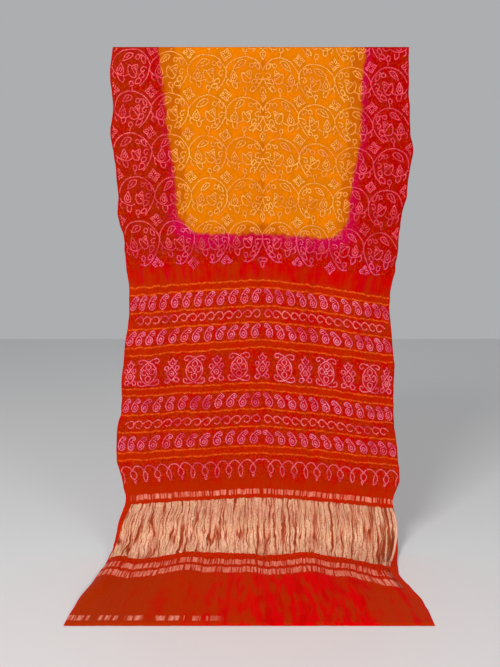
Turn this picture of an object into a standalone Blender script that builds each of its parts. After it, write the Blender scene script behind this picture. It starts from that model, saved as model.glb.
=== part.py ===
"""Bandhani cloth: one sheet of tie-dyed silk satin, shown as it hangs.

The cloth hangs straight down from its top edge, bends forward in a soft round bend where it
meets the floor, and lies along the floor with its plain end towards the viewer. It is one
woven piece, so it is one solid. Metres, +Z up, the viewer looks along +Y. The origin is the
middle of the top edge, on the crease that runs down the middle of the cloth.
"""

import math

import bmesh
import bpy

# Driving sizes, in metres.
HANG_HEIGHT = 1.793  # from the top edge down to the floor
BEND_RADIUS = 0.12  # the round bend between the hanging part and the floor
FLOOR_LENGTH = 0.415  # the flat run of cloth in front of the bend
THICKNESS = 0.0015  # silk satin with the puckers that the tied knots leave
CLOTH_WIDTH = 1.05  # width that places across the cloth are measured on

HANG_LENGTH = HANG_HEIGHT - BEND_RADIUS
BEND_LENGTH = BEND_RADIUS * math.pi / 2
CLOTH_LENGTH = HANG_LENGTH + BEND_LENGTH + FLOOR_LENGTH

# Rows of faces along each stretch of the cloth, and columns across it.
HANG_ROWS, BEND_ROWS, FLOOR_ROWS = 36, 7, 9
COLUMNS = 44

# The two side edges. The cloth is full width near the top, drawn in where it was tied
# hardest, and opens out again towards its plain end; the small steps are its scallops.
# Columns: distance along the cloth from the top edge, the left and the right edge's
# distance from the middle crease.
SIDE_EDGES = [
    # along, left, right
    (0.00, 0.514, 0.499),
    (0.08, 0.526, 0.502),
    (0.19, 0.522, 0.509),
    (0.28, 0.531, 0.515),
    (0.33, 0.527, 0.526),
    (0.41, 0.516, 0.517),
    (0.50, 0.511, 0.507),
    (0.57, 0.512, 0.493),
    (0.64, 0.496, 0.485),
    (0.76, 0.486, 0.475),
    (0.83, 0.479, 0.459),
    (0.93, 0.482, 0.461),
    (1.03, 0.497, 0.471),
    (1.13, 0.511, 0.481),
    (1.28, 0.519, 0.481),
    (1.35, 0.536, 0.490),
    (1.46, 0.538, 0.503),
    (1.53, 0.522, 0.510),
    (1.61, 0.508, 0.487),
    (1.70, 0.536, 0.503),
    (1.77, 0.543, 0.500),
    (1.86, 0.553, 0.481),
    (1.96, 0.562, 0.466),
    (2.05, 0.571, 0.484),
    (2.13, 0.586, 0.502),
    (2.28, 0.598, 0.502),
]

# Soft folds that run along the cloth, each a rounded ridge (height above 0, towards the
# viewer or up from the floor) or trough (below 0). Columns: place across the cloth at the
# fold's start, where it starts and ends along the cloth, height, half width, and how far
# it drifts sideways for each metre that it runs.
FOLDS = [
    # across, start, end, height, half width, drift
    (-0.44, 0.06, 1.66, 0.011, 0.048, 0.010),
    (-0.33, 0.20, 1.70, -0.008, 0.045, 0.020),
    (-0.20, 0.30, 1.80, 0.009, 0.055, -0.015),
    (-0.09, 0.45, 1.50, -0.005, 0.040, 0.010),
    (0.00, 0.01, 1.56, -0.007, 0.016, 0.000),
    (0.11, 0.25, 1.72, 0.008, 0.050, 0.015),
    (0.24, 0.12, 1.60, -0.009, 0.045, -0.020),
    (0.37, 0.10, 1.78, 0.011, 0.050, 0.010),
    (-0.47, 1.60, 2.26, 0.016, 0.035, -0.060),
    (-0.25, 1.70, 2.12, 0.010, 0.045, -0.050),
    (-0.04, 1.72, 2.22, 0.008, 0.040, 0.030),
    (0.17, 1.70, 2.10, 0.011, 0.045, 0.060),
    (0.31, 1.78, 2.27, 0.007, 0.030, 0.050),
    (0.45, 1.58, 2.18, 0.015, 0.022, 0.050),
]

# The side margins turn back from the viewer while they hang, and ruffle.
MARGIN_START = 0.80  # share of the half width where a side starts to turn back
MARGIN_DEPTH = 0.014
RUFFLE_DEPTH = 0.005
RUFFLE_PITCH = 0.150  # the pitch of the tied rows, which draws the edge in and out
SLACK_BELOW_TOP = 0.20  # the top edge is held straight, and the folds grow below it

# The woven metallic band near the end is gathered in pleats.
PLEAT_START, PLEAT_END = 1.59, 1.84
PLEAT_HEIGHT = 0.005
PLEAT_PITCH = 0.047

SILK_COLOUR = (0.55, 0.03, 0.008, 1.0)


def smooth(low, high, value):
    """0 below low, 1 above high, and an eased step between them."""
    share = min(1.0, max(0.0, (value - low) / (high - low)))
    return share * share * (3.0 - 2.0 * share)


def read_edges(along):
    """Left and right edge at a distance along the cloth, on smooth curves through SIDE_EDGES."""
    last = len(SIDE_EDGES) - 1
    row = max(i for i in range(last) if SIDE_EDGES[i][0] <= along or i == 0)
    start, left_of, right_of, end = (
        SIDE_EDGES[min(max(row + step, 0), last)] for step in (0, -1, 2, 1)
    )
    span = end[0] - start[0]
    share = min(1.0, (along - start[0]) / span)
    edges = []
    for side in (1, 2):
        slope_in = (end[side] - left_of[side]) / (end[0] - left_of[0])
        slope_out = (right_of[side] - start[side]) / (right_of[0] - start[0])
        cubed, squared = share**3, share**2
        edges.append(
            (2 * cubed - 3 * squared + 1) * start[side]
            + (cubed - 2 * squared + share) * span * slope_in
            + (3 * squared - 2 * cubed) * end[side]
            + (cubed - squared) * span * slope_out
        )
    return edges


def centre_line(along):
    """Forward distance, height above the floor, and the angle turned from hanging to lying."""
    if along <= HANG_LENGTH:
        return 0.0, HANG_HEIGHT - along, 0.0
    if along <= HANG_LENGTH + BEND_LENGTH:
        angle = (along - HANG_LENGTH) / BEND_RADIUS
        return BEND_RADIUS * (1 - math.cos(angle)), BEND_RADIUS * (1 - math.sin(angle)), angle
    return BEND_RADIUS + along - HANG_LENGTH - BEND_LENGTH, 0.0, math.pi / 2


def fold_height(across, along):
    """Sum of the soft folds at a place on the cloth."""
    height = 0.0
    for place, start, end, rise, half_width, drift in FOLDS:
        ease = 0.35 * (end - start)
        window = smooth(start, start + ease, along) * smooth(-end, ease - end, -along)
        offset = (across - place - drift * (along - start)) / half_width
        height += rise * window * math.exp(-offset * offset)
    return height


def margin_turn(side, along):
    """How far a side margin stands back from the plane of the cloth."""
    hanging = smooth(0.0, SLACK_BELOW_TOP, along) * smooth(-HANG_LENGTH, 0.3 - HANG_LENGTH, -along)
    margin = smooth(MARGIN_START, 1.05, abs(side))
    phase = 2 * math.pi * along / RUFFLE_PITCH + (0.0 if side < 0 else 1.9)
    return -margin * (MARGIN_DEPTH * hanging + RUFFLE_DEPTH * hanging * math.sin(phase))


def pleat_height(across, along):
    """The gathers of the metallic band, with an uneven pitch."""
    ease = 0.05
    window = smooth(PLEAT_START - ease, PLEAT_START + ease, along)
    window *= smooth(-PLEAT_END - ease, ease - PLEAT_END, -along)
    turn = 2 * math.pi * across / PLEAT_PITCH
    uneven = 1.3 * math.sin(2 * math.pi * across / 0.31 + 5.0 * along)
    return window * PLEAT_HEIGHT * 0.5 * (1 + math.sin(turn + uneven))


def place_on_cloth(side, along):
    """Point of the cloth's middle surface. side is -1 at the left edge and 1 at the right."""
    left, right = read_edges(along)
    forward, height, angle = centre_line(along)
    across = side * CLOTH_WIDTH / 2
    offset = fold_height(across, along) + margin_turn(side, along) + pleat_height(across, along)
    if angle > 0:  # no trough goes under the floor
        offset = max(offset, 0.0)
    x = side * (right if side > 0 else left)
    y = -forward - offset * math.cos(angle)
    z = height - HANG_HEIGHT + THICKNESS / 2 * math.sin(angle) + offset * math.sin(angle)
    return x, y, z


def row_places():
    """Distance along the cloth of every row of points, closer together in the bend."""
    places = [0.0]
    for length, rows in (
        (HANG_LENGTH, HANG_ROWS),
        (BEND_LENGTH, BEND_ROWS),
        (FLOOR_LENGTH, FLOOR_ROWS),
    ):
        start = places[-1]
        places += [start + length * (row + 1) / rows for row in range(rows)]
    return places


def silk_material():
    """Dyed silk satin in the red of the cloth's borders and end."""
    material = bpy.data.materials.new("dyed_silk")
    material.use_nodes = True
    shader = material.node_tree.nodes["Principled BSDF"]
    shader.inputs["Base Color"].default_value = SILK_COLOUR
    shader.inputs["Roughness"].default_value = 0.6
    shader.inputs["Metallic"].default_value = 0.0
    return material


def make_cloth():
    """A flat grid laid on the cloth's shape, then given its thickness."""
    places = row_places()
    rows = len(places) - 1
    grid = bmesh.new()
    bmesh.ops.create_grid(grid, x_segments=COLUMNS, y_segments=rows, size=0.5)
    for point in grid.verts:
        row = round((0.5 - point.co.y) * rows)
        point.co = place_on_cloth(2 * point.co.x, places[row])
    mesh = bpy.data.meshes.new("bandhani_cloth")
    grid.to_mesh(mesh)
    grid.free()
    mesh.shade_smooth()
    cloth = bpy.data.objects.new("bandhani_cloth", mesh)
    cloth.data.materials.append(silk_material())
    bpy.context.scene.collection.objects.link(cloth)
    shell = cloth.modifiers.new("thickness", "SOLIDIFY")
    shell.thickness = THICKNESS
    shell.offset = 0.0


for old in list(bpy.data.objects):
    bpy.data.objects.remove(old)
make_cloth()
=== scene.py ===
"""Bandhani cloth: tie-dyed silk satin, hung from its top edge with its plain end on the floor.

The sheet, its dyed grounds and its woven metallic bands come first, then the tied knots row by
row, and last the camera, the floor and the lights. Metres, +Z up, the viewer looks along +Y.
"""

import math

import bmesh
import bpy
import numpy as np
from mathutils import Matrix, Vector


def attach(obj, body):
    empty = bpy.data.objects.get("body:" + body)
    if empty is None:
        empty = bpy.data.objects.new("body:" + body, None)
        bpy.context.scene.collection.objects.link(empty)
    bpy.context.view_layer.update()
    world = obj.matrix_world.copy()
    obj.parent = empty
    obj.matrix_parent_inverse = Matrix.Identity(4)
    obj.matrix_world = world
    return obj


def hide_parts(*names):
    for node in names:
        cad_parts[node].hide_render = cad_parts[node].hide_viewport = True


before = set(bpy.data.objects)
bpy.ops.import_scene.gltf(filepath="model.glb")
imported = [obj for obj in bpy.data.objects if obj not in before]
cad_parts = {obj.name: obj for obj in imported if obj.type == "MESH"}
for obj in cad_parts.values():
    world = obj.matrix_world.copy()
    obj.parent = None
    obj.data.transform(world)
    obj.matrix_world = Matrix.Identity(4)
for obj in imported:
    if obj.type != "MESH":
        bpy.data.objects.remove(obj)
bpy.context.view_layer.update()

# ---------------------------------------------------------------------------------------
# The cloth: one width of silk satin. It hangs from its top edge, bends forward where it
# meets the floor and lies along it. The tied knots have left it puckered all over, and its
# side margins turn back and ruffle.
# ---------------------------------------------------------------------------------------
HANG_HEIGHT = 1.793
BEND_RADIUS = 0.12
FLOOR_LENGTH = 0.415
HANG_LENGTH = HANG_HEIGHT - BEND_RADIUS
BEND_LENGTH = BEND_RADIUS * math.pi / 2
CLOTH_LENGTH = HANG_LENGTH + BEND_LENGTH + FLOOR_LENGTH
CLOTH_WIDTH = 1.05
HALF_WIDTH = CLOTH_WIDTH / 2
SHEET_THICKNESS = 0.001
COLUMNS, ROWS = 184, 236

# Distance along the cloth, and the left and right edge's distance from the middle crease.
SIDE_EDGES = np.array([
    (0.00, 0.514, 0.499), (0.08, 0.526, 0.502), (0.19, 0.522, 0.509), (0.28, 0.531, 0.515),
    (0.33, 0.527, 0.526), (0.41, 0.516, 0.517), (0.50, 0.511, 0.507), (0.57, 0.512, 0.493),
    (0.64, 0.496, 0.485), (0.76, 0.486, 0.475), (0.83, 0.479, 0.459), (0.93, 0.482, 0.461),
    (1.03, 0.497, 0.471), (1.13, 0.511, 0.481), (1.28, 0.519, 0.481), (1.35, 0.536, 0.490),
    (1.46, 0.538, 0.503), (1.53, 0.522, 0.510), (1.61, 0.508, 0.487), (1.70, 0.536, 0.503),
    (1.77, 0.543, 0.500), (1.86, 0.553, 0.481), (1.96, 0.562, 0.466), (2.05, 0.571, 0.484),
    (2.13, 0.586, 0.502), (2.28, 0.598, 0.502),
])

# The dyed rows slope down from the crease to the sides, more on the right. Distance along the
# crease, and how much further along the cloth a row lies at the left and the right edge.
ROW_DROP = np.array([
    (0.00, -0.035, 0.038), (0.16, -0.029, 0.040), (0.66, 0.004, 0.050), (0.80, 0.031, 0.068),
    (1.04, 0.035, 0.058), (1.19, 0.026, 0.062), (1.43, 0.032, 0.052), (1.58, 0.029, 0.042),
    (1.83, 0.024, 0.058), (1.95, 0.026, 0.068), (2.28, 0.026, 0.068),
])

# Soft folds along the cloth: place across at the start, start and end along the cloth,
# height of the ridge (a trough is below 0), half width, sideways drift in a metre.
FOLDS = [
    (-0.44, 0.06, 1.66, 0.011, 0.048, 0.010), (-0.33, 0.20, 1.70, -0.008, 0.045, 0.020),
    (-0.20, 0.30, 1.80, 0.009, 0.055, -0.015), (-0.09, 0.45, 1.50, -0.005, 0.040, 0.010),
    (0.00, 0.01, 1.56, -0.007, 0.016, 0.000), (0.11, 0.25, 1.72, 0.008, 0.050, 0.015),
    (0.24, 0.12, 1.60, -0.009, 0.045, -0.020), (0.37, 0.10, 1.78, 0.011, 0.050, 0.010),
    (-0.47, 1.60, 2.26, 0.016, 0.035, -0.060), (-0.25, 1.70, 2.12, 0.010, 0.045, -0.050),
    (-0.04, 1.72, 2.22, 0.008, 0.040, 0.030), (0.17, 1.70, 2.10, 0.011, 0.045, 0.060),
    (0.31, 1.78, 2.27, 0.007, 0.030, 0.050), (0.45, 1.58, 2.18, 0.009, 0.032, 0.050),
]
MARGIN_START, MARGIN_DEPTH = 0.80, 0.014  # share of the half width, and how far back it turns
RUFFLE_DEPTH, RUFFLE_PITCH = 0.005, 0.150
SLACK_BELOW_TOP = 0.20  # the top edge is held straight, and the margins turn back below it

FIELD_END = 0.735  # where the flowered ground gives way to the plain crinkled strip
ROWS_START, ROWS_END = 0.79, 1.53  # the motif rows between the two
BAND_START, BAND_END = 1.600, 1.829  # the wide metallic band


def smooth(low, high, value):
    """0 below low, 1 above high, and an eased step between them."""
    share = np.clip((value - low) / (high - low), 0.0, 1.0)
    return share * share * (3.0 - 2.0 * share)


def fade(start, end, value):
    """1 below start, 0 above end, and an eased step between them."""
    return 1.0 - smooth(start, end, value)


def within(start, end, soft, value):
    """1 between start and end, with soft edges."""
    return smooth(start - soft, start + soft, value) * fade(end - soft, end + soft, value)


# The area that patchy() covers: where it starts left of the crease and above the top, its size.
PATCH_LEFT, PATCH_TOP = 0.8, 0.25
PATCH_WIDTH, PATCH_LENGTH = 1.6, 2.8


def patchy(across, along, pitch_across, pitch_along, seed):
    """Smooth uneven heights from -1 to 1, as far apart as the two pitches say."""
    columns, rows = int(PATCH_WIDTH / pitch_across) + 3, int(PATCH_LENGTH / pitch_along) + 3
    heights = np.random.default_rng(seed).uniform(-1.0, 1.0, (rows, columns))
    x, y = (across + PATCH_LEFT) / pitch_across, (along + PATCH_TOP) / pitch_along
    column = np.clip(np.floor(x).astype(int), 0, columns - 2)
    row = np.clip(np.floor(y).astype(int), 0, rows - 2)
    u, v = smooth(0.0, 1.0, x - column), smooth(0.0, 1.0, y - row)
    top = heights[row, column] * (1 - u) + heights[row, column + 1] * u
    low = heights[row + 1, column] * (1 - u) + heights[row + 1, column + 1] * u
    return top * (1 - v) + low * v


def read_edge(side, along):
    """Distance from the crease to the edge on the side asked for, on a smooth curve."""
    column = np.where(side < 0, 1, 2)
    last = len(SIDE_EDGES) - 1
    row = np.clip(np.searchsorted(SIDE_EDGES[:, 0], along, side="right") - 1, 0, last - 1)
    before, after = np.maximum(row - 1, 0), np.minimum(row + 2, last)
    start, end = SIDE_EDGES[row, 0], SIDE_EDGES[row + 1, 0]
    low, high = SIDE_EDGES[row, column], SIDE_EDGES[row + 1, column]
    slope_in = (high - SIDE_EDGES[before, column]) / (end - SIDE_EDGES[before, 0])
    slope_out = (SIDE_EDGES[after, column] - low) / (SIDE_EDGES[after, 0] - start)
    share = np.clip((along - start) / (end - start), 0.0, 1.0)
    cubed, squared = share**3, share**2
    return (
        (2 * cubed - 3 * squared + 1) * low
        + (cubed - 2 * squared + share) * (end - start) * slope_in
        + (3 * squared - 2 * cubed) * high
        + (cubed - squared) * (end - start) * slope_out
    )


def look_up(table, place):
    """Values of a table at places down the cloth, which are the table's first column."""
    return [np.interp(place, table[:, 0], column) for column in table[:, 1:].T]


def row_drop(across, along):
    """How much further along the cloth a dyed row lies here than at the crease."""
    side = across / HALF_WIDTH
    drop = np.where(side < 0, *look_up(ROW_DROP, along)) * np.abs(side) ** 1.25
    # the band rides up between the crease and the sides where it bends onto the floor
    ride_up = within(1.80, 2.10, 0.06, along) * np.sin(np.pi * np.clip(np.abs(side) * 1.25, 0, 1))
    # its right end is pulled down where the side turns over
    pulled = smooth(0.39, 0.475, across) * smooth(1.66, 1.80, along) * fade(1.98, 2.12, along)
    # and near the top the right half hangs a little lower
    lower = smooth(0.04, 0.20, across) * fade(0.36, 0.47, across) * fade(0.26, 0.52, along)
    return drop - 0.030 * ride_up + 0.033 * pulled + 0.013 * lower


def fold_height(across, along):
    """Sum of the soft folds."""
    height = np.zeros_like(across)
    for place, start, end, rise, half_width, drift in FOLDS:
        taper = 0.35 * (end - start)
        window = smooth(start, start + taper, along) * fade(end - taper, end, along)
        offset = (across - place - drift * (along - start)) / half_width
        height += rise * window * np.exp(-offset * offset)
    return height


def margin_turn(side, along):
    """How far a side margin stands back from the plane of the cloth."""
    hanging = smooth(0.0, SLACK_BELOW_TOP, along) * fade(HANG_LENGTH - 0.3, HANG_LENGTH, along)
    margin = smooth(MARGIN_START, 1.05, np.abs(side))
    phase = 2 * np.pi * along / RUFFLE_PITCH + np.where(side < 0, 0.0, 1.9)
    return -margin * hanging * (MARGIN_DEPTH + RUFFLE_DEPTH * np.sin(phase))


def pucker_height(across, along):
    """Fine relief: puckers between the knots, crinkles in the plain strips, pleats in the band."""
    pattern = along - row_drop(across, along)
    knotted = fade(FIELD_END - 0.01, FIELD_END + 0.02, pattern)
    knotted += within(ROWS_START, ROWS_END, 0.012, pattern)
    puckers = 0.0017 * patchy(across, along, 0.017, 0.021, 1)
    puckers += 0.0010 * patchy(across, along, 0.012, 0.015, 2)
    crinkled = within(FIELD_END, ROWS_START, 0.02, pattern) + within(1.50, 1.59, 0.02, pattern)
    crinkles = 0.0016 * patchy(across, along, 0.009, 0.090, 3)
    ends = smooth(BAND_END, BAND_END + 0.05, pattern)
    drapes = 0.0018 * patchy(across, along, 0.035, 0.220, 4)
    drapes += 0.0009 * patchy(across, along, 0.014, 0.120, 5)
    return knotted * puckers + crinkled * crinkles + ends * drapes


WIDE_PLEAT, FINE_PLEAT = 0.0045, 0.0016


def pleat_height(across, along):
    """The gathers of the wide metallic band: rounded ridges with narrow valleys."""
    pattern = along - row_drop(across, along)
    window = within(BAND_START, BAND_END, 0.025, pattern)
    wander = 0.010 * patchy(across, along, 0.060, 0.060, 6)
    wide = 1.0 - np.abs(patchy(across + wander, along, 0.021, 0.150, 7))
    fine = 1.0 - np.abs(patchy(across + wander, along, 0.010, 0.080, 8))
    return window * (WIDE_PLEAT * wide**2 + FINE_PLEAT * fine)


def lay_cloth(across, along):
    """Points of the cloth's face, for places across and along it."""
    side = across / HALF_WIDTH
    edge = read_edge(side, along)
    angle = np.clip((along - HANG_LENGTH) / BEND_RADIUS, 0.0, np.pi / 2)
    past = np.maximum(along - HANG_LENGTH - BEND_LENGTH, 0.0)
    forward = BEND_RADIUS * (1 - np.cos(angle)) + past
    height = np.where(angle > 0, BEND_RADIUS * (1 - np.sin(angle)), HANG_HEIGHT - along)
    offset = fold_height(across, along) + margin_turn(side, along)
    offset += pucker_height(across, along) + pleat_height(across, along)
    offset *= smooth(-0.01, 0.05, along)
    offset = np.where(angle > 0, np.maximum(offset, 0.0), offset)
    ragged = 0.0018 * smooth(0.90, 1.0, np.abs(side)) * patchy(side * 0.5, along, 0.400, 0.026, 10)
    x = side * edge + ragged
    y = -forward - offset * np.cos(angle)
    z = height - HANG_HEIGHT + (offset + SHEET_THICKNESS) * np.sin(angle)
    return np.stack([x, y, z], axis=-1)


# Share of the grid's rows, and the distance along the cloth that they reach: rows are closest
# together where the pattern is tied.
ROW_SHARES = np.array([(0.0, 0.0), (0.80, 1.55), (0.94, 1.97), (1.0, CLOTH_LENGTH)])


def reach_of(share):
    """Distance along the cloth that a share of the grid's rows reaches."""
    return np.interp(share, ROW_SHARES[:, 0], ROW_SHARES[:, 1])


def mesh_sheet():
    """A flat grid with closer columns in the metallic bands, laid on the cloth's shape."""
    grid = bmesh.new()
    bmesh.ops.create_grid(grid, x_segments=COLUMNS, y_segments=ROWS, size=0.5)
    along = dict(zip(grid.verts, reach_of([0.5 - vert.co.y for vert in grid.verts])))
    gathered = [
        edge for edge in grid.edges
        if abs(edge.verts[0].co.y - edge.verts[1].co.y) < 1e-6
        and BAND_START - 0.02 < along[edge.verts[0]] < BAND_END + 0.05
    ]
    bmesh.ops.subdivide_edges(grid, edges=gathered, cuts=1)
    mesh = bpy.data.meshes.new("cloth")
    grid.to_mesh(mesh)
    grid.free()
    flat = np.zeros(len(mesh.vertices) * 3)
    mesh.vertices.foreach_get("co", flat)
    flat = flat.reshape(-1, 3)
    across = flat[:, 0] * CLOTH_WIDTH
    along = reach_of(0.5 - flat[:, 1])
    mesh.vertices.foreach_set("co", lay_cloth(across, along).astype(np.float32).ravel())
    mesh.shade_smooth()
    mesh.update()
    return mesh, across, along


def put_in_scene(name, data):
    """A new object in the scene, at its origin."""
    added = bpy.data.objects.new(name, data)
    bpy.context.scene.collection.objects.link(added)
    return added


cloth_mesh, cloth_across, cloth_along = mesh_sheet()
cloth_pattern = cloth_along - row_drop(cloth_across, cloth_along)
cloth_pattern = cloth_along - row_drop(cloth_across, cloth_pattern)
cloth = put_in_scene("cloth", cloth_mesh)


def map_pattern(mesh, across, pattern):
    """The pattern's own places, in metres, as the mesh's UV map."""
    corners = np.zeros(len(mesh.loops), int)
    mesh.loops.foreach_get("vertex_index", corners)
    places = np.stack([across[corners], pattern[corners]], axis=-1)
    uv = mesh.uv_layers.new(name="pattern")
    uv.data.foreach_set("uv", places.astype(np.float32).ravel())


def note(mesh, name, values):
    """Keeps one value a point on a mesh, for its material to read."""
    kept = mesh.attributes.new(name, "FLOAT", "POINT")
    kept.data.foreach_set("value", np.asarray(values, np.float32))


# The orange middle was kept out of the red bath. Down the cloth: how far it reaches to the left
# and to the right of the crease. Then where it ends, and how round its lower corners are.
MIDDLE_SIDES = np.array([
    (0.00, 0.374, 0.367), (0.04, 0.360, 0.358), (0.13, 0.344, 0.351), (0.23, 0.336, 0.347),
    (0.33, 0.321, 0.330), (0.46, 0.314, 0.318), (0.64, 0.308, 0.324),
])
MIDDLE_END, MIDDLE_CORNER = 0.632, 0.095


def beyond_middle(across, pattern):
    """How far a place lies outside the orange middle. Inside it the distance is below 0."""
    reach = np.where(across < 0, *look_up(MIDDLE_SIDES, pattern))
    x = np.abs(across) - reach + MIDDLE_CORNER
    y = pattern - MIDDLE_END + MIDDLE_CORNER
    outside = np.hypot(np.maximum(x, 0), np.maximum(y, 0))
    return outside + np.minimum(np.maximum(x, y), 0) - MIDDLE_CORNER


def magenta_share(across, pattern):
    """The magenta left between the two baths: strongest under the orange, least on its left."""
    distance = beyond_middle(across, pattern)
    below = smooth(MIDDLE_END - 0.12, MIDDLE_END - 0.01, pattern)
    below *= 0.35 + 0.65 * smooth(0.04, 0.15, np.abs(across))
    low = smooth(0.20, 0.60, pattern)
    strength = np.maximum(below, np.where(across < 0, 0.20 + 0.30 * low, 0.48 + 0.20 * low))
    reach = 0.026 + 0.022 * below
    return strength * smooth(-0.006, 0.004, distance) * fade(0.3 * reach, 1.7 * reach, distance)


def burnt_share(across, pattern):
    """How far the red has browned the orange, in from its edge: widest at the upper left."""
    narrowed = 0.032 * smooth(0.1, 0.6, pattern) * np.where(across < 0, 1.0, 0.5)
    reach = np.where(across < 0, 0.070, 0.058) - narrowed
    share = smooth(-1.05, -0.60, beyond_middle(across, pattern) / reach)
    below = smooth(0.54, 0.61, pattern) * smooth(0.02, 0.11, np.abs(across))
    return share * (1.0 - 0.6 * below) * np.where(across < 0, 1.0, 0.85)


# How brown the red is, down the cloth, at its left and its right edge: 0 is pure crimson.
BROWNNESS = np.array([
    (0.00, 0.80, 0.12), (0.60, 0.82, 0.20), (0.70, 0.55, 0.20), (0.78, 0.56, 0.34),
    (0.80, 0.78, 0.62), (1.20, 0.80, 0.55), (1.53, 0.92, 0.74), (1.83, 0.95, 0.80),
    (1.98, 1.00, 0.50), (2.28, 1.00, 0.40),
])


def brownness(across, pattern):
    """How brown the red is at a place, from the table's two edges."""
    left, right = look_up(BROWNNESS, pattern)
    brown = left + (right - left) * smooth(-0.40, 0.30, across)
    brown += 0.5 * smooth(0.27, 0.40, across) * smooth(1.90, 2.00, pattern)
    return brown * (0.25 + 0.75 * smooth(0.015, 0.070, beyond_middle(across, pattern)))


# How bright the cloth is coloured, down it: the dyes deepest in the flowered ground at the top,
# where the knots are closest, and brighter lower down, with painted light that evens out the
# lamps, most at the plain end on the floor.
DYE_AND_LIGHT_BRIGHTNESS = np.array([
    (0.00, 0.725), (0.68, 0.75), (0.75, 0.89), (0.80, 0.865), (1.20, 0.885), (1.50, 0.95),
    (1.60, 0.99), (1.84, 1.02), (1.98, 1.07), (2.28, 1.08),
])

map_pattern(cloth_mesh, cloth_across, cloth_pattern)
note(cloth_mesh, "brightness", look_up(DYE_AND_LIGHT_BRIGHTNESS, cloth_pattern)[0])
note(cloth_mesh, "beyond_middle", beyond_middle(cloth_across, cloth_pattern))
note(cloth_mesh, "magenta", magenta_share(cloth_across, cloth_pattern))
note(cloth_mesh, "burnt", burnt_share(cloth_across, cloth_pattern))
note(cloth_mesh, "brownness", brownness(cloth_across, cloth_pattern))
note(cloth_mesh, "ridge", pleat_height(cloth_across, cloth_along) / (WIDE_PLEAT + FINE_PLEAT))


def dye(red, green, blue):
    """Linear colour of a dye or thread that looks like this, of 255, in the studio light."""
    return tuple((part / 255) ** 2.2 for part in (red, green, blue)) + (1.0,)


def start_material(name):
    """A new material, with its shader."""
    material = bpy.data.materials.new(name)
    material.use_nodes = True
    return material


silk = start_material("dyed_silk")
tree = silk.node_tree  # the functions below add their nodes to the material that is being made


def plug(socket, value):
    """Links an output to a socket, or sets the socket to a plain value."""
    if isinstance(value, bpy.types.NodeSocket):
        tree.links.new(value, socket)
    else:
        socket.default_value = value


def work_out(operation, *values):
    """Output of one Math node."""
    node = tree.nodes.new("ShaderNodeMath")
    node.operation = operation
    for socket, value in zip(node.inputs, values):
        plug(socket, value)
    return node.outputs[0]


def times(value, factor):
    """Product of two values."""
    return work_out("MULTIPLY", value, factor)


def times_plus(value, factor, added):
    """A value times a factor, and another value added."""
    return work_out("MULTIPLY_ADD", value, factor, added)


def off_middle(value):
    """How far a grain is above its middle. Under the middle the result is below 0."""
    return work_out("SUBTRACT", value, 0.5)


def add_up(*values):
    """Sum of several values."""
    total = values[0]
    for value in values[1:]:
        total = work_out("ADD", total, value)
    return total


def ease(value, low, high):
    """0 below low and 1 above high, or the other way round if low is the higher one."""
    node = tree.nodes.new("ShaderNodeMapRange")
    node.interpolation_type = "SMOOTHSTEP"
    plug(node.inputs["Value"], value)
    node.inputs["From Min"].default_value = min(low, high)
    node.inputs["From Max"].default_value = max(low, high)
    node.inputs["To Min"].default_value = 0.0 if low < high else 1.0
    node.inputs["To Max"].default_value = 1.0 if low < high else 0.0
    return node.outputs["Result"]


def stripe(value, start, end, soft):
    """1 between start and end, with soft edges."""
    return times(ease(value, start - soft, start + soft), ease(value, end + soft, end - soft))


def tint(share, low, high, kind="MIX"):
    """Colour between two colours."""
    node = tree.nodes.new("ShaderNodeMix")
    node.data_type = "RGBA"
    node.blend_type = kind
    plug(node.inputs["Factor"], share)
    plug(node.inputs[6], low)
    plug(node.inputs[7], high)
    return node.outputs[2]


def overdye(colour, *shades):
    """A colour with others laid over it: where each one lies, how strongly, and its dye."""
    for share, strength, shade in shades:
        colour = tint(times(share, strength), colour, shade)
    return colour


def grain(places, pitch_across, pitch_along, detail=2.0, shift=0.0):
    """Uneven grain from 0 to 1, with a pitch in metres across and along the cloth."""
    mapping = tree.nodes.new("ShaderNodeMapping")
    mapping.inputs["Location"].default_value = (shift, shift * 0.7, 0)
    mapping.inputs["Scale"].default_value = (1 / pitch_across, 1 / pitch_along, 1)
    plug(mapping.inputs["Vector"], places)
    noise = tree.nodes.new("ShaderNodeTexNoise")
    noise.noise_dimensions = "2D"
    noise.inputs["Scale"].default_value = 1.0
    noise.inputs["Detail"].default_value = detail
    plug(noise.inputs["Vector"], mapping.outputs["Vector"])
    return noise.outputs["Fac"]


def vein(value, width):
    """1 on the thin winding lines where a grain passes its middle."""
    return ease(work_out("ABSOLUTE", off_middle(value)), width, 0.0)


def cracks(place, pitch, width):
    """1 on thin lines, all as wide, at uneven distances from each other."""
    cells = tree.nodes.new("ShaderNodeTexVoronoi")
    cells.voronoi_dimensions = "1D"
    cells.feature = "DISTANCE_TO_EDGE"
    cells.inputs["Scale"].default_value = 1 / pitch
    plug(cells.inputs["W"], place)
    return ease(cells.outputs["Distance"], width, 0.3 * width)


def read_note(name):
    """A value kept on the mesh by note()."""
    node = tree.nodes.new("ShaderNodeAttribute")
    node.attribute_name = name
    return node.outputs["Fac"]


def raise_relief(height, distance, strength=1.0):
    """Normal of a fine relief. A height of 1 stands as far out as the distance."""
    bump = tree.nodes.new("ShaderNodeBump")
    bump.inputs["Strength"].default_value = strength
    bump.inputs["Distance"].default_value = distance
    plug(bump.inputs["Height"], height)
    return bump.outputs["Normal"]


def set_surface(values):
    """Plugs values into the shader, by the names of its sockets."""
    shader = tree.nodes["Principled BSDF"]
    for name, value in values.items():
        plug(shader.inputs[name], value)


# Thin tie lines between the motif rows. Some are pairs, with a browner ground between them.
LINE_PAIRS = ((0.796, 0.8215), (1.0105, 1.038), (1.168, 1.194), (1.403, 1.430))
TIE_LINES = (0.887, 0.945, 1.264, 1.329) + tuple(line for pair in LINE_PAIRS for line in pair)
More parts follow.
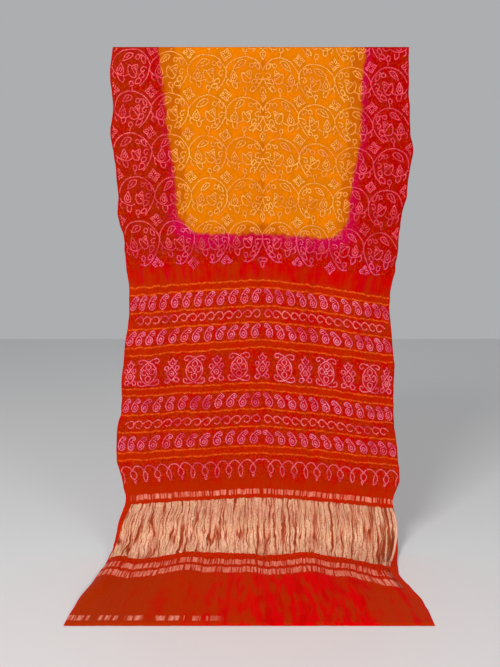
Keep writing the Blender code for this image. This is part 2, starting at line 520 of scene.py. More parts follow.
# Narrow metallic lines above and below the wide band: start and end along the cloth.
NARROW_BANDS = ((1.566, 1.585), (1.868, 1.904), (1.925, 1.964))
HEM_LINE = (2.227, 2.253)  # a broken one, close to the narrow hem
THREAD_PITCH, PICK_PITCH = 0.0007, 0.0012
ENDLESS = 9.0  # a pitch so long that the grain doesn't change along the cloth

pattern_map = tree.nodes.new("ShaderNodeUVMap")
pattern_map.uv_map = "pattern"
places = pattern_map.outputs["UV"]
split = tree.nodes.new("ShaderNodeSeparateXYZ")
plug(split.inputs["Vector"], places)
across, along = split.outputs["X"], split.outputs["Y"]
off_crease = work_out("ABSOLUTE", across)
side = work_out("DIVIDE", across, HALF_WIDTH)

# The red bath: crimson to brown red, streaked along the cloth where it is not tied.
streaks = grain(places, 0.021, 0.260, detail=3.0)
clouds = grain(places, 0.046, 0.060, detail=4.0, shift=3.1)
mottle = grain(places, 0.0080, 0.0100, detail=3.0, shift=7.7)
drawn_out = grain(places, 0.034, 0.450, detail=3.0, shift=27.7)
strip = stripe(along, FIELD_END, ROWS_START, 0.010)
lower_strip = stripe(along, 1.520, 1.610, 0.025)
plain_end = ease(along, 1.950, 1.990)
unspeckled = work_out("MAXIMUM", work_out("ADD", strip, lower_strip), plain_end)
speckled = work_out("SUBTRACT", 1.0, unspeckled)
calm = times_plus(stripe(along, 1.52, 1.96, 0.03), -0.6, 1.0)
brown = read_note("brownness")
for uneven, push, where in (
    (streaks, 1.5, times_plus(lower_strip, 0.6, strip)),
    (clouds, 2.7, times_plus(strip, -0.4, calm)),
    (mottle, 2.2, speckled),
    (drawn_out, 3.2, plain_end),
):
    brown = times_plus(times(off_middle(uneven), push), where, brown)
rosy_streaks = times(ease(streaks, 0.44, 0.30), strip)
blotches = times(ease(grain(places, 0.030, 0.130, shift=17.3), 0.55, 0.42), plain_end)
blotches = times(blotches, ease(read_note("brownness"), 0.96, 0.60))
far_left = times(ease(across, -0.12, -0.50), plain_end)
darker = times(ease(mottle, 0.44, 0.64), times_plus(speckled, 0.50, 0.12))
red = overdye(
    tint(ease(brown, 0.0, 1.0), dye(197, 3, 4), dye(180, 45, 0)),
    (rosy_streaks, 0.45, dye(206, 6, 46)),
    (blotches, 1.0, dye(210, 0, 12)),
    (far_left, 0.75, dye(162, 50, 0)),
    (darker, 1.0, dye(150, 16, 6)),
)

# The orange middle, burnt along its edge and with painted shade along the crease, and the magenta that
# bled out of it.
bleed = times(off_middle(grain(places, 0.024, 0.030, detail=4.0, shift=1.3)), 0.030)
outward = work_out("ADD", read_note("beyond_middle"), bleed)
burnt = ease(times_plus(bleed, 5.0, read_note("burnt")), 0.0, 1.0)
# Painted shade along the middle crease, darker orange in patches.
middle_crease_shade = ease(grain(places, 0.040, 0.060, shift=37.1), 0.40, 0.60)
middle_crease_shade = times(ease(off_crease, 0.012, 0.001), middle_crease_shade)
orange = overdye(
    tint(ease(work_out("ADD", mottle, clouds), 0.75, 1.25), dye(255, 132, 0), dye(234, 126, 8)),
    (burnt, 0.82, dye(202, 92, 8)),
    (middle_crease_shade, 0.55, dye(196, 82, 10)),
)
magenta = ease(times_plus(bleed, 16.0, read_note("magenta")), 0.05, 0.95)
ground = tint(magenta, red, dye(212, 0, 78))
ground = tint(ease(outward, 0.009, -0.009), ground, orange)

# Between the knots: magenta dye that pooled there in the red, and in the orange an olive painted shade
# of the puckers; and orange flecks in the red.
in_rows = stripe(along, ROWS_START, ROWS_END, 0.010)
in_red = ease(outward, -0.006, 0.006)
knot_closeness = read_note("motif")
# Where knots are close: pooled magenta dye in the red, painted pucker shade in the orange.
pooled_dye_and_shade = tint(in_red, dye(202, 118, 8), dye(182, 0, 40))
ground = tint(times(knot_closeness, times_plus(in_rows, 0.15, 0.70)), ground, pooled_dye_and_shade)
flecks = ease(grain(places, 0.0070, 0.0090, shift=35.9), 0.56, 0.68)
flecks = times(flecks, times(in_red, speckled))
ground = tint(times(flecks, 0.50), ground, dye(222, 66, 8))

# The tie lines, and the browner ground between the pairs of them.
wobbled = times_plus(off_middle(grain(places, 0.028, 0.180, shift=2.2)), 0.012, along)
for start, end in LINE_PAIRS:
    ground = tint(times(stripe(wobbled, start, end, 0.003), 0.45), ground, dye(190, 42, 2))
off_line = 1.0
for line in TIE_LINES:
    distance = work_out("ABSOLUTE", work_out("SUBTRACT", wobbled, line))
    off_line = work_out("MINIMUM", distance, off_line)
unbroken = ease(grain(places, 0.012, 0.018, shift=5.4), 0.36, 0.60)
line_share = times(times_plus(unbroken, 0.50, 0.28), ease(off_line, 0.0046, 0.0006))
ground = tint(line_share, ground, dye(243, 100, 34))

# The selvedges are a plain crimson.
selvedge = ease(off_crease, HALF_WIDTH - 0.006, HALF_WIDTH - 0.003)
ground = tint(times(selvedge, 0.8), ground, dye(206, 6, 24))

# Brightness down the cloth: the dyes' depth, and painted light lower down.
brighten = tree.nodes.new("ShaderNodeHueSaturation")
plug(brighten.inputs["Value"], read_note("brightness"))
plug(brighten.inputs["Color"], ground)
ground = brighten.outputs["Color"]

# The metallic weft: a wide crinkled band with a slanted left end, and narrow broken lines.
frayed = off_middle(grain(places, 0.012, ENDLESS, detail=3.0, shift=4.8))
frayed = times_plus(frayed, 0.012, along)
left_slant = times_plus(along, 0.20, -0.20 * BAND_END - 0.004)
inside_left = add_up(side, 1.0, left_slant)
band = times(stripe(frayed, BAND_START, BAND_END, 0.0015), ease(inside_left, -0.003, 0.003))

below_band = ease(along, 1.83, 1.86)
dashes = grain(places, 0.0070, 0.200, shift=6.3)
dashes = ease(times_plus(below_band, 0.015, dashes), 0.415, 0.525)
fading = ease(grain(places, 0.060, 0.500, shift=8.9), 0.20, 0.55)
fading = times_plus(fading, 0.35, 0.65)
jolts = off_middle(grain(places, 0.0180, ENDLESS, detail=3.0, shift=29.3))
jolted = times_plus(jolts, times_plus(below_band, 0.010, 0.011), along)
narrow = add_up(*[stripe(jolted, start, end, 0.0020) for start, end in NARROW_BANDS])
narrow = times(narrow, work_out("MAXIMUM", below_band, ease(side, -0.968, -0.948)))
hem_line = stripe(times_plus(across, -0.06, along), *HEM_LINE, 0.002)
hem_line = times(hem_line, ease(across, -0.10, -0.16))
hem_groups = ease(grain(places, 0.036, ENDLESS, shift=31.1), 0.44, 0.50)
narrow = times_plus(hem_line, hem_groups, narrow)
narrow = times(narrow, times(dashes, fading))

# The crinkles of the wide band: pale ribs of metal thread, with red silk showing between them, and
# painted shade in the pleats' valleys.
sway = off_middle(grain(places, 0.022, 0.045, shift=19.1))
swayed_across = times_plus(sway, 0.017, across)
join = tree.nodes.new("ShaderNodeCombineXYZ")
plug(join.inputs["X"], swayed_across)
plug(join.inputs["Y"], along)
swayed = join.outputs["Vector"]
long_crinkle = grain(swayed, 0.0200, 0.330, detail=1.0, shift=9.6)
short_crinkle = grain(swayed, 0.0120, 0.190, detail=1.0, shift=21.7)
fine_crinkle = grain(swayed, 0.0060, 0.050, shift=11.3)
come_and_go = ease(grain(places, 0.024, 0.120, detail=1.0, shift=23.9), 0.36, 0.52)
gathered = ease(across, 0.400, 0.440)
groove = times(vein(long_crinkle, 0.062), times_plus(come_and_go, 0.5, 0.5))
groove = work_out("MAXIMUM", groove, times(vein(long_crinkle, 0.130), gathered))
short_groove = times(vein(short_crinkle, 0.040), come_and_go)
sharp_shows = ease(grain(places, 0.030, 0.070, shift=53.3), 0.40, 0.56)
sharp_crease = times(cracks(swayed_across, 0.0130, 0.090), sharp_shows)
flush = times(vein(long_crinkle, 0.120), times_plus(come_and_go, 0.4, 0.3))
deepest = times(vein(long_crinkle, 0.022), come_and_go)
# Red-brown where the pleats' geometry lies low: red silk showing, and painted shade.
valley_silk_and_shade = ease(read_note("ridge"), 0.30, 0.12)
weft_ribs = grain(places, 0.0120, 0.0030, detail=1.0, shift=41.9)
zari = overdye(
    tint(ease(fine_crinkle, 0.30, 0.70), dye(212, 146, 112), dye(238, 190, 160)),
    (ease(weft_ribs, 0.52, 0.68), 0.55, dye(196, 138, 92)),
    (ease(weft_ribs, 0.44, 0.30), 0.60, dye(248, 212, 176)),
    (ease(clouds, 0.42, 0.66), 0.50, dye(220, 178, 136)),
    (flush, 0.80, dye(232, 128, 98)),
    (short_groove, 0.75, dye(166, 72, 42)),
    (groove, 1.0, dye(156, 62, 32)),
    (deepest, 0.65, dye(136, 54, 26)),
    (valley_silk_and_shade, 0.40, dye(172, 76, 44)),
    (sharp_crease, 0.88, dye(134, 50, 24)),
)
lines = tint(ease(fine_crinkle, 0.35, 0.65), dye(218, 106, 82), dye(238, 148, 124))
ground = tint(times(narrow, 0.95), ground, lines)
metal = times(work_out("MAXIMUM", band, times(narrow, 0.6)), 0.16)

# Its right edge rolls over: a pale rim, with a painted highlight where the edge catches the light, a
# painted shadow in the gap inside it, and painted shade along a crease below it.
past_turn = work_out("MAXIMUM", work_out("SUBTRACT", along, 1.70), 0.0)
past_turn = work_out("MINIMUM", past_turn, 0.13)
off_rim = times_plus(past_turn, 0.45, work_out("SUBTRACT", side, 0.992))
outside_rim = times(ease(off_rim, 0.003, 0.010), stripe(along, 1.70, 2.03, 0.01))
# Painted shade along the crease below the rolled edge.
low_crease_shade = times(stripe(off_rim, -0.014, 0.004, 0.008), stripe(along, 1.85, 1.97, 0.02))
# Painted shadow in the gap behind the rolled edge.
gap_shadow = times(stripe(off_rim, -0.034, -0.010, 0.005), stripe(along, 1.690, 1.800, 0.020))
# The pale zari rim, lightened as a painted highlight where it catches the light.
pale_rim_and_highlight = times(stripe(off_rim, -0.007, 0.007, 0.003), stripe(along, 1.610, 1.790, 0.010))
colour = overdye(
    tint(band, ground, zari),
    (outside_rim, 1.0, dye(196, 42, 6)),
    (low_crease_shade, 0.80, dye(118, 28, 0)),
    (gap_shadow, 0.75, dye(120, 52, 20)),
    (pale_rim_and_highlight, 0.90, dye(238, 182, 160)),
)

# Relief, in millimetres: puckers where it is tied, crinkles along it elsewhere, and the weave.
tied = work_out("ADD", ease(along, FIELD_END + 0.010, FIELD_END - 0.010), in_rows)
pucker = grain(places, 0.0090, 0.0120, detail=3.0, shift=13.1)
crinkle = grain(places, 0.0080, 0.120, detail=3.0, shift=15.7)
thread = grain(places, THREAD_PITCH, 0.0011, detail=1.0)
picks = tree.nodes.new("ShaderNodeTexWave")
picks.bands_direction = "Y"
picks.inputs["Scale"].default_value = 0.31 / PICK_PITCH  # at a scale of 1 the waves are 0.31 apart
plug(picks.inputs["Vector"], places)
height = times(times(tied, 4.0), pucker)
height = times_plus(times(crinkle, 2.2), work_out("SUBTRACT", 1.0, tied), height)
for shape, rise in ((groove, -1.2), (short_groove, -0.7), (sharp_crease, -0.7), (fine_crinkle, 1.2)):
    height = times_plus(shape, times(band, rise), height)
for shape, rise in ((knot_closeness, 0.5), (thread, 0.10), (picks.outputs["Fac"], 0.05)):
    height = times_plus(shape, rise, height)

set_surface({
    "Base Color": colour,
    "Metallic": metal,
    "Roughness": times_plus(metal, -0.25, 0.56),
    "Normal": raise_relief(height, 0.001, strength=0.8),
    "Specular IOR Level": 0.06,
    "Specular Tint": dye(255, 90, 50),
    "Sheen Weight": 0.01,
    "Sheen Roughness": 0.35,
    "Sheen Tint": dye(255, 120, 90),
})
cloth.data.materials.append(silk)

shell = cloth.modifiers.new("thickness", "SOLIDIFY")
shell.thickness = SHEET_THICKNESS
shell.offset = -1.0
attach(cloth, "root")
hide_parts("bandhani_cloth")

# ---------------------------------------------------------------------------------------
# The tied knots. Before dyeing, the pattern was tied into the silk point by point: each knot
# keeps a small peak of paler silk, and rows of knots draw the vines, flowers and paisleys.
# The charts below are drawn in millimetres, x towards the crease and y down.
# ---------------------------------------------------------------------------------------
KNOT_PITCH = 0.0047  # between two knots of a stroke
KNOT_RADIUS, KNOT_RISE = 0.0015, 0.0011  # the pale peak
# The skirt is coloured with deeper dye and with painted shade round the peak.
KNOT_SKIRT, SKIRT_RISE = 0.0031, 0.0003  # the silk drawn up round it, where more dye pooled
KNOT_BACK_RADIUS = 0.0015  # where it shows at the back
KNOT_LENGTH = SHEET_THICKNESS + 0.0002  # through the sheet, and out of both its faces
SKIRT_CLEARANCE = 0.00005  # between the sheet's face and the skirt's edge
KNOT_SIDES = 5
CLEARANCE = 0.0033  # two strokes that meet share a knot
HAND_SLIP, ROW_WANDER = 0.00035, 0.0022  # how far knots and stretches of a row stray

# The flowered ground: rings of vine, each with the same sprays inside it. A ring is charted
# from its top, and a spray's own motif from the motif's middle.
RING_VINE = [
    [(-66, 62), (-65, 53), (-60, 39), (-51, 26), (-37, 12), (-18, 3), (2, 0), (20, 3), (38, 12),
     (52, 26), (61, 41), (66, 56), (64, 70), (57, 89), (46, 109), (31, 127)],
    [(-66, 70), (-57, 84), (-40, 94), (-22, 96), (-8, 90)], [(-58, 86), (-61, 97), (-54, 106)],
]
VINE_FOOT = [[(31, 127), (20, 136), (6, 141), (-8, 138)]]
LEAF = [
    [(-22, 8), (-12, -2), (0, -9), (13, -8), (21, 0), (13, 7), (0, 10), (-12, 10), (-22, 8)],
    [(-5, 3), (6, -2)],
]
BUD = [[(-6, 4), (-5, -5), (3, -7), (7, -1), (3, 6), (-6, 4)], [(7, -4), (12, -9)]]
CLOVER = [
    [(0, -22), (-6, -12), (-12, -2), (-11, 10), (-2, 17), (8, 14), (12, 2), (6, -11), (0, -22)],
    [(0, -8), (-5, 2), (0, 9), (5, 2), (0, -8)],
]
BELL = [
    [(-14, -17), (-17, -4), (-12, 11), (-3, 19), (8, 19), (15, 11), (16, -6), (17, -24), (6, -20),
     (-5, -14), (-14, -17)],
    [(-14, -17), (-3, -8), (6, 2), (14, 11)], [(5, -11), (11, -16), (11, -7)],
]
CURL = [[(10, -8), (1, -9), (-6, -3), (-5, 5), (2, 8), (5, 3)]]
SIDE_LEAF = [[(2, -13), (-5, -5), (-5, 4), (0, 11), (6, 3), (7, -5), (2, -13)]]
LOW_LEAF = [[(-5, 12), (-8, 2), (-4, -8), (4, -10), (8, -2), (3, 7), (-5, 12)]]
TULIP = [[(-12, -10), (-8, 2), (2, 9), (7, 0), (6, -9)]]
DROP = [[(1, 18), (1, 8)], [(1, 8), (-6, 2), (-5, -7), (1, -9), (6, -5), (6, 3), (1, 8)]]
# Each motif's place in a ring, in millimetres from the ring's top, and its turn.
SPRAYS = (
    (LEAF, -17, 26, -0.38), (BUD, 22, 30, 0.10), (CLOVER, -35, 75, 0.00), (BELL, 8, 75, 0.00),
    (CURL, 43, 66, 0.00), (SIDE_LEAF, 44, 36, -0.55), (LOW_LEAF, 35, 91, 0.30), (TULIP, -28, 109, 0.05),
    (DROP, 2, 121, 0.00), (LOW_LEAF, 27, 113, 0.60),
)
# One petal of the small flowers between the rings, from the flower's middle.
FLOWER_PETAL = [
    [(5, 5), (8, 10), (5, 15), (0, 20)], [(0, 20), (-5, 15), (-8, 10), (-5, 5)], [(0, 9), (0, 13)],
]
# Half of each motif on the crease, between the rings on its two sides.
CREASE_LEAVES = [
    [(5, 66), (6, 52), (14, 42), (23, 46), (21, 58), (12, 64), (5, 66)], [(3, 18), (13, 20), (17, 29)],
]
CREASE_BARS = [
    [(0, 29), (12, 27), (20, 31)], [(8, 43), (18, 41), (27, 44)], [(0, 54), (7, 61), (11, 71)],
]
CREASE_DIAMOND = [[(0, -17), (6, -9), (9, -1), (5, 8), (0, 16)], [(0, -6), (0, 5)]]
CREASE_CROSS = [[(0, -26), (0, -4)], [(3, -14), (19, -13)], [(14, 2), (23, 8), (24, 18), (16, 22)]]
PENDANT = [[(0, -10), (8, -13), (17, -9), (15, 1), (5, 2), (0, -2)], [(7, 8), (6, 16), (0, 23)]]

# One motif of each of the rows below, from the motif's middle.
PAISLEY = [
    [(6, -14), (12, -13), (17, -19), (14, -26), (7, -28), (0, -22), (-7, -12), (-12, 1), (-11, 13),
     (-4, 22), (5, 21), (11, 13), (11, 2), (6, -6), (0, -9)],
    [(0, 1), (-4, 8), (0, 15), (5, 9), (3, 2)], [(8, -21), (11, -20)],
]
SCROLL = [[(-19, -3), (-11, -11), (0, -15), (9, -10), (13, 0), (9, 10), (0, 14), (-7, 9)]]
LOZENGE_HALF = [
    [(0, -18), (21, 12)], [(21, 12), (3, 40)],
    [(0, 1), (6, 5), (8, 12), (5, 19), (0, 22)], [(0, 11), (1, 12)],
    [(0, -18), (10, -27), (16, -40)], [(16, -40), (9, -39), (0, -52)], [(0, -32), (1, -31)],
    [(13, -6), (14, -17), (23, -19), (27, -10), (20, -2)],
    [(7, 35), (16, 31), (25, 37), (24, 47), (13, 48), (8, 40)],
]
RING_HALF = [
    [(-30, 2), (-27, -15), (-17, -33), (-3, -45), (11, -53), (25, -57), (36, -52), (38, -42), (31, -37),
     (25, -42)],
    [(-30, 2), (-27, 20), (-17, 36), (-3, 47), (13, 53), (28, 54), (38, 48), (40, 37), (33, 32),
     (27, 38)],
    [(0, -38), (8, -30), (9, -20), (0, -12)], [(10, -8), (18, -14), (24, -3), (20, 8), (11, 9)],
    [(0, -7), (7, 0), (0, 8)], [(0, 14), (9, 20), (8, 32), (0, 40)],
]
DROP_PAIR = [
    [(0, 0), (-8, 14), (-5, 32), (0, 38), (5, 28), (7, 12), (0, 0)],
    [(0, 0), (9, -13), (22, -18), (35, -13), (44, -1)],
    [(44, -1), (34, 10), (36, 24), (46, 28), (55, 18), (53, 6), (44, -1)],
    [(43, 30), (45, 43), (50, 32)],
    [(44, -1), (55, -14), (67, -18), (80, -12), (88, 0)],
]

# Distance along the cloth of each row, at the crease.
RING_TOPS = (-0.106, 0.034, 0.168, 0.301, 0.442, 0.589)
PAISLEY_ROWS, SCROLL_ROWS = (0.853, 0.979, 1.232, 1.371), (0.914, 1.301)
MEDALLION_ROW, DROP_ROW = 1.107, 1.474
DROPS_START = (DROP_ROW - 0.03, DROP_ROW - 0.02)
CROSS_ROW, LOWEST_FLOWERS, PENDANT_ROW = 0.664, 0.726, 0.730
RING_LENGTH = 0.148  # of the charted ring
LEAVES_DROP, DIAMOND_DROP = 0.045, 0.132  # below a ring's top, on the crease
# Places across the left half. An even row has its first place, its pitch and its count.
RING_PLACES = (-0.064, -0.192, -0.322, -0.454)
MEDALLION_PLACES = (0.0, -0.087, -0.170, -0.254, -0.338, -0.424, -0.493)
PAISLEY_PLACES, SCROLL_PLACES = (-0.0272, -0.0453, 12), (-0.022, -0.0358, 14)
DROP_PLACES = (-0.077, -0.0884, 6)
THREE_PETALS, FOUR_PETALS = (-0.135, -0.400), -0.266  # the lowest flowers
# How far motifs lean, in turn.
FLOWER_LEANS, PAISLEY_LEANS = (0.0, 0.14, -0.10, 0.22), (0.16, 0.02, 0.08, 0.20)

knot_places = {"ground": [], "rows": []}


def draw_smoothly(points):
    """Knots an even pitch apart along a smooth curve through a chart's points, in millimetres."""
    points = np.array(points, float)
    if len(points) == 2:
        curve = np.linspace(points[0], points[1], 24)
    else:
        closed = np.allclose(points[0], points[-1])
        before = points[-2] if closed else 2 * points[0] - points[1]
        after = points[1] if closed else 2 * points[-1] - points[-2]
        run = np.vstack([before, points, after])
        share = np.linspace(0, 1, 14, endpoint=False)[:, None]
        pieces = []
        for a, b, c, d in zip(run, run[1:], run[2:], run[3:]):
            bend = 2 * b + (c - a) * share + (2 * a - 5 * b + 4 * c - d) * share**2
            pieces.append((bend + (3 * b - a - 3 * c + d) * share**3) / 2)
        curve = np.vstack(pieces + [points[-1:]])
    steps = np.linalg.norm(np.diff(curve, axis=0), axis=1)
    travelled = np.concatenate([[0], np.cumsum(steps)])
    count = max(2, round(travelled[-1] / (KNOT_PITCH * 1000)) + 1)
    at = np.linspace(0, travelled[-1], count)
    return np.stack([np.interp(at, travelled, curve[:, i]) for i in (0, 1)], axis=-1)


def tie(part, chart, across, along, stretch=(1.0, 1.0), turn=0.0, mirrored=False, boldness=1.0):
    """Ties one motif on the left half of the cloth. A mirrored chart is half of its motif."""
    for stroke in chart:
        drawn = draw_smoothly(stroke) * 0.001
        for flip in (1, -1) if mirrored else (1,):
            x, y = drawn[:, 0] * flip, drawn[:, 1]
            turned_x = across + (x * math.cos(turn) - y * math.sin(turn)) * stretch[0]
            turned_y = along + (x * math.sin(turn) + y * math.cos(turn)) * stretch[1]
            tied_at = np.stack([turned_x, turned_y, np.full_like(x, boldness)], axis=-1)
            knot_places[part].append(tied_at[tied_at[:, 0] < 0.0005])


def flower(across, along, turn=0.0, petals=4):
    """Petals round a middle, as on the small flowers between the rings."""
    for petal in range(petals):
        tie("ground", FLOWER_PETAL, across, along, turn=turn + petal * math.pi / 2)


def space_out(first, pitch, count):
    """Even places across, which are drawn closer together towards the side margin."""
    even = [first + pitch * number for number in range(count)]
    return [across + 0.9 * max(0.0, abs(across) - 0.38) ** 2 for across in even]


unlike = np.random.default_rng(29)  # no two sprays are quite alike
for number, top in enumerate(RING_TOPS):
    foot = RING_TOPS[number + 1] if number + 1 < len(RING_TOPS) else top + RING_LENGTH
    stretch = (foot - top) / RING_LENGTH
    for column, across in enumerate(RING_PLACES):
        tie("ground", RING_VINE, across, top, stretch=(1.0, stretch), boldness=0.8)
        if number == len(RING_TOPS) - 1:
            tie("ground", VINE_FOOT, across, top, boldness=0.8)
        for motif, x, y, turn in SPRAYS:
            shift_x, shift_y, lean = unlike.uniform(-1, 1, 3) * (0.003, 0.003, 0.16)
            size, boldness = unlike.uniform(0.88, 1.08), unlike.uniform(0.50, 1.0)
            place = (across + x * 0.001 + shift_x, top + y * 0.001 * stretch + shift_y)
            tie("ground", motif, *place, stretch=(size, size), turn=turn + lean, boldness=boldness)
        flower(across - 0.065, top - 0.003, turn=FLOWER_LEANS[(number + column) % 4])
for across in THREE_PETALS:
    flower(across, LOWEST_FLOWERS, turn=math.pi / 2, petals=3)
flower(FOUR_PETALS, LOWEST_FLOWERS + 0.002)
for number, top in enumerate(RING_TOPS[:-1]):
    upper = CREASE_BARS if number % 2 else CREASE_LEAVES
    tie("ground", upper, 0.0, top + LEAVES_DROP, mirrored=True, boldness=0.8)
    tie("ground", CREASE_DIAMOND, 0.0, top + DIAMOND_DROP, mirrored=True, boldness=0.9)
tie("ground", CREASE_CROSS, 0.0, CROSS_ROW, mirrored=True, boldness=0.8)
tie("ground", PENDANT, 0.0, PENDANT_ROW, mirrored=True, boldness=0.5)

for row, along in enumerate(PAISLEY_ROWS):
    for number, across in enumerate(space_out(*PAISLEY_PLACES)):
        width = 1.08 - 0.04 * max(0, number - 7)
        lean = PAISLEY_LEANS[(number + row) % 4]
        tie("rows", PAISLEY, across, along, stretch=(width, 0.98), turn=lean)
for along in SCROLL_ROWS:
    for across in space_out(*SCROLL_PLACES):
        tie("rows", SCROLL, across, along, stretch=(1.0, 0.93))
for number, across in enumerate(MEDALLION_PLACES):
    figure = RING_HALF if number % 2 else LOZENGE_HALF
    width = 0.8 if across == MEDALLION_PLACES[-1] else 1.0
    tie("rows", figure, across, MEDALLION_ROW, stretch=(width, 0.92), mirrored=True)
first, pitch, count = DROP_PLACES
for number in range(count):
    tie("rows", DROP_PAIR, first + pitch * number, DROP_ROW, stretch=(1.0, 1.10))


def gather_knots(part):
    """Both halves' knots of a part, a little uneven, with none tied twice."""
    left = np.vstack(knot_places[part])
    both = np.vstack([left, left * (-1, 1, 1)])
    both[:, :2] += np.random.default_rng(31).normal(0.0, HAND_SLIP, (len(both), 2))
    for axis in (0, 1):
        both[:, axis] += ROW_WANDER * patchy(both[:, 0], both[:, 1], 0.034, 0.034, 33 + axis)
    kept = np.abs(both[:, 0]) < HALF_WIDTH - 0.006
    kept &= both[:, 1] + row_drop(both[:, 0], both[:, 1]) > 0.004
    both = both[kept]
    cells = np.floor(both[:, :2] / CLEARANCE).astype(int)
    first = np.unique(cells, axis=0, return_index=True)[1]
    return both[np.sort(first)]


sheet_columns = np.linspace(-HALF_WIDTH, HALF_WIDTH, COLUMNS + 1)
sheet_points = lay_cloth(*np.meshgrid(sheet_columns, reach_of(np.linspace(0, 1, ROWS + 1))))


def on_sheet(across, pattern):
    """Points of the sheet's face as meshed, its normal, and its direction across, at places."""
    along = pattern + row_drop(across, pattern)
    x = np.clip((across / CLOTH_WIDTH + 0.5) * COLUMNS, 0, COLUMNS - 1e-6)
    y = np.interp(along, ROW_SHARES[:, 1], ROW_SHARES[:, 0]) * ROWS
    column, row = x.astype(int), np.clip(y, 0, ROWS - 1e-6).astype(int)
    u, v = (x - column)[:, None], (y - row)[:, None]
    a, b = sheet_points[row, column], sheet_points[row, column + 1]
    c, d = sheet_points[row + 1, column], sheet_points[row + 1, column + 1]
    points = (a * (1 - u) + b * u) * (1 - v) + (c * (1 - u) + d * u) * v
    over = (b - a) * (1 - v) + (d - c) * v
    down = (c - a) * (1 - u) + (d - b) * u
    over /= np.linalg.norm(over, axis=1, keepdims=True)
    normal = np.cross(down, over)
    normal /= np.linalg.norm(normal, axis=1, keepdims=True)
    return points, normal, over


def knot_shape():
    """Points, faces and pale points of a knot: a peak on a skirt, and a foot through the sheet."""
    knot = bmesh.new()
    bmesh.ops.create_cone(
        knot, cap_ends=True, segments=KNOT_SIDES,
        radius1=KNOT_BACK_RADIUS, radius2=KNOT_SKIRT, depth=KNOT_LENGTH,
    )
    bmesh.ops.translate(knot, verts=knot.verts, vec=(0, 0, SKIRT_CLEARANCE - KNOT_LENGTH / 2))
    front = max(knot.faces, key=lambda face: face.calc_center_median().z)
    draw = (KNOT_SKIRT - KNOT_RADIUS) * math.cos(math.pi / KNOT_SIDES)
    bmesh.ops.inset_individual(knot, faces=[front], thickness=draw, depth=SKIRT_RISE)
    bmesh.ops.poke(knot, faces=[front], offset=KNOT_RISE)
    bmesh.ops.triangulate(knot, faces=knot.faces)
    points = np.array([tuple(vert.co) for vert in knot.verts])
    faces = np.array([[vert.index for vert in face.verts] for face in knot.faces])
    knot.free()
    pale = (points[:, 2] > SKIRT_RISE / 2) | (points[:, 2] < -SHEET_THICKNESS)
    return points, faces, pale[None, :, None]


knot_points, knot_faces, knot_paleness = knot_shape()


def mix(share, low, high):
    """Colours between two colours, or two lists of them, one for each share."""
    share = share[:, None]
    return (1 - share) * np.array(low) + share * np.array(high)


def baths(across, pattern):
    """How far a place is in the red, in the motif rows and in the magenta, each from 0 to 1."""
    red = smooth(-0.006, 0.006, beyond_middle(across, pattern))
    rows = within(ROWS_START, ROWS_END, 0.01, pattern)
    foot_of_field = 0.7 * smooth(0.66, 0.70, pattern) * (1 - rows)
    return red, rows, np.maximum(magenta_share(across, pattern), foot_of_field)


def light_silk(across, pattern):
    """What the dyes left light under the ties: its usual and its faint colour, and the paler colour of
    its painted highlights.
    """
    red, rows, magenta = baths(across, pattern)
    uneven = smooth(0.2, 0.9, patchy(across, pattern, 0.045, 0.045, 27))
    rosy = np.maximum(smooth(-0.060, -0.005, beyond_middle(across, pattern)), uneven)
    yellow = mix(0.8 * rosy, dye(254, 180, 88), dye(248, 142, 86))
    scrolls = sum(within(row - 0.026, row + 0.026, 0.004, pattern) for row in SCROLL_ROWS)
    scrolls += 0.6 * smooth(*DROPS_START, pattern)
    scrolls += 0.4 * within(MEDALLION_ROW - 0.06, MEDALLION_ROW + 0.06, 0.004, pattern)
    lilac = 0.5 + 0.4 * patchy(across, pattern, 0.030, 0.030, 35)
    lilac += 0.4 * patchy(across, pattern, 0.009, 0.009, 37)
    paisley = mix(np.clip(lilac, 0.0, 1.0), dye(250, 108, 106), dye(248, 126, 160))
    pink = mix(brownness(across, pattern), dye(255, 80, 108), dye(255, 112, 106))
    pink = mix(rows, pink, mix(scrolls, paisley, dye(255, 120, 106)))
    pink = mix(magenta, pink, dye(255, 98, 162))
    faint = mix(red, dye(232, 130, 40), mix(rows, dye(204, 50, 50), dye(206, 48, 74)))
    glint_colour = mix(scrolls, dye(252, 156, 182), dye(255, 148, 142))
    return mix(red, yellow, pink), faint, mix(rows, dye(255, 118, 132), glint_colour)


def peak_colour(across, pattern, boldness, seed):
    """Light silk of each knot's peak, faint in places and bright in others, with painted highlights on
    some knots in the red.
    """
    red, rows, _ = baths(across, pattern)
    usual, faint, glint_colour = light_silk(across, pattern)
    draw = np.random.default_rng(seed)
    share = 0.8 * patchy(across, pattern, 0.055, 0.055, seed + 20)
    share += 0.5 * patchy(across, pattern, 0.018, 0.018, seed + 21)
    share = (0.15 + 0.85 * smooth(-0.9, 0.2, share)) * (0.3 + 0.7 * boldness)
    share *= 1.0 - 0.15 * red * (1.0 - rows)
    share = np.minimum(1.0, share + 0.25 * smooth(*DROPS_START, pattern))
    colours = mix(share * draw.uniform(0.50, 1.0, len(across)), faint, usual)
    # Painted highlights: some knots in the red lightened towards a paler pink.
    glint = smooth(0.35, 0.9, patchy(across, pattern, 0.012, 0.012, seed + 22)) * share * red
    colours = mix(0.7 * glint, colours, glint_colour)
    colours[:, :3] *= draw.uniform(0.88, 1.24, (len(across), 1))
    return np.clip(colours, 0, 1)


def skirt_dye_and_shade(across, pattern):
    """The deeper dye that pooled round each knot, and painted shade round its peak."""
    red, rows, magenta = baths(across, pattern)
    crimson = mix(0.6 * brownness(across, pattern), dye(158, 2, 22), dye(148, 28, 6))
    purple = mix(np.maximum(rows, magenta), crimson, dye(164, 2, 50))
    return mix(red, dye(210, 116, 16), purple)


